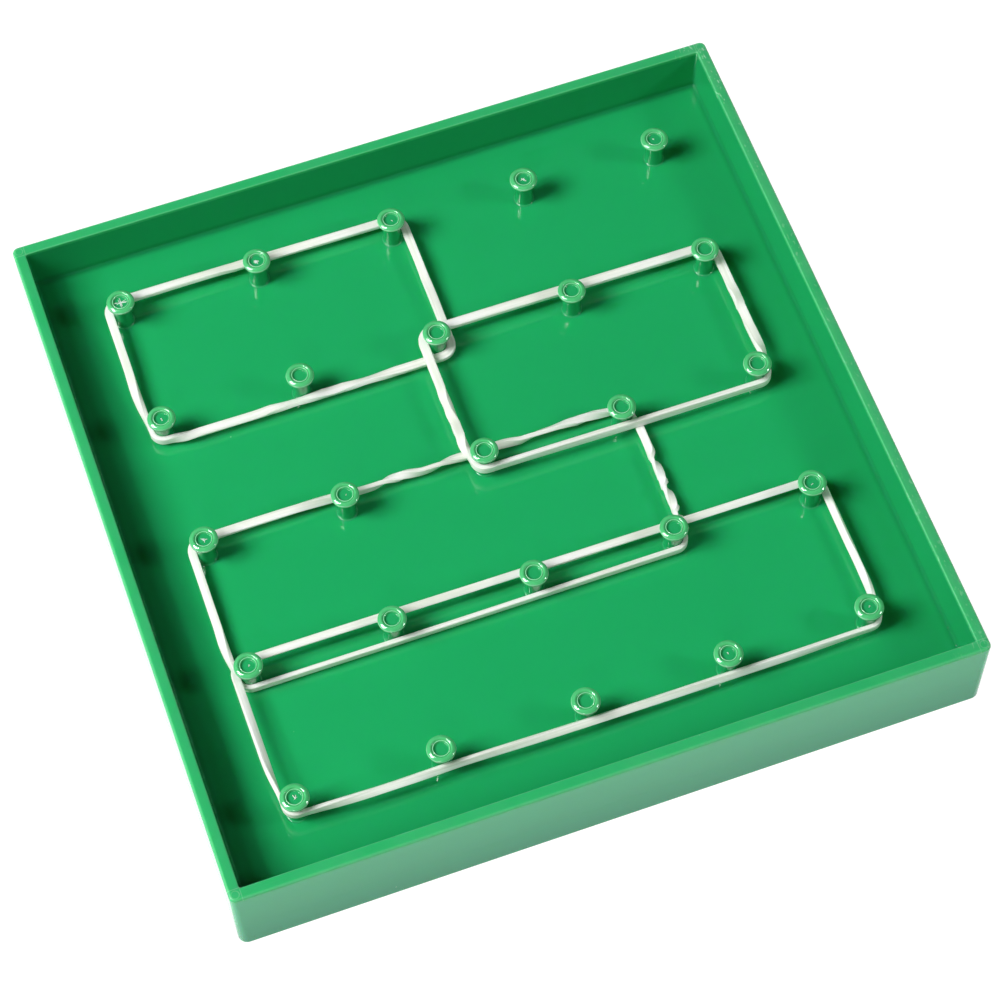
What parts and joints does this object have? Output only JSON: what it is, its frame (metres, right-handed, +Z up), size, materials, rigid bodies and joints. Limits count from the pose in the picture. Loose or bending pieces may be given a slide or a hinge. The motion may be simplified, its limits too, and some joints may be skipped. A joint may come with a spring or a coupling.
{
  "type": "geoboard",
  "caption": "Square geoboard tray with a raised rim, a regular grid of headed pegs and flat rubber bands stretched round them.",
  "frame": {"origin": "middle of the tray's underside, in the plane that it rests on", "axes": "+X along the rows of pegs to the right, +Y from the front row to the back row, +Z up out of the tray"},
  "size_m": [0.1564, 0.1564, 0.0222],
  "materials": {
    "tray_green": "glossy moulded plastic",
    "peg_clear_green": "glossy, slightly see-through moulded plastic",
    "band_rubber": "matt pale natural rubber with fine lengthwise lines"
  },
  "bodies": {
    "board": {"tray": "tray_green", "peg_r1_c1": "peg_clear_green", "peg_r1_c2": "peg_clear_green", "peg_r1_c3": "peg_clear_green", "peg_r1_c4": "peg_clear_green", "peg_r1_c5": "peg_clear_green", "peg_r2_c1": "peg_clear_green", "peg_r2_c2": "peg_clear_green", "peg_r2_c3": "peg_clear_green", "peg_r2_c4": "peg_clear_green", "peg_r2_c5": "peg_clear_green", "peg_r3_c1": "peg_clear_green", "peg_r3_c2": "peg_clear_green", "peg_r3_c3": "peg_clear_green", "peg_r3_c4": "peg_clear_green", "peg_r3_c5": "peg_clear_green", "peg_r4_c1": "peg_clear_green", "peg_r4_c2": "peg_clear_green", "peg_r4_c3": "peg_clear_green", "peg_r4_c4": "peg_clear_green", "peg_r4_c5": "peg_clear_green", "peg_r5_c1": "peg_clear_green", "peg_r5_c2": "peg_clear_green", "peg_r5_c3": "peg_clear_green", "peg_r5_c4": "peg_clear_green", "peg_r5_c5": "peg_clear_green"},
    "rubber_band_back_left_body": {"rubber_band_back_left": "band_rubber"},
    "rubber_band_middle_right_body": {"rubber_band_middle_right": "band_rubber"},
    "rubber_band_middle_left_body": {"rubber_band_middle_left": "band_rubber"},
    "rubber_band_front_body": {"rubber_band_front": "band_rubber"}
  },
  "joints": [
    {"name": "lift_band_back_left", "type": "slide", "parent": "board", "child": "rubber_band_back_left_body", "axis": [0, 0, 1], "range_m": [0, 0.03], "deforming": ["rubber_band_back_left"]},
    {"name": "lift_band_middle_right", "type": "slide", "parent": "board", "child": "rubber_band_middle_right_body", "axis": [0, 0, 1], "range_m": [0, 0.03], "deforming": ["rubber_band_middle_right"]},
    {"name": "lift_band_middle_left", "type": "slide", "parent": "board", "child": "rubber_band_middle_left_body", "axis": [0, 0, 1], "range_m": [0, 0.03], "deforming": ["rubber_band_middle_left"]},
    {"name": "lift_band_front", "type": "slide", "parent": "board", "child": "rubber_band_front_body", "axis": [0, 0, 1], "range_m": [0, 0.03], "deforming": ["rubber_band_front"]}
  ]
}
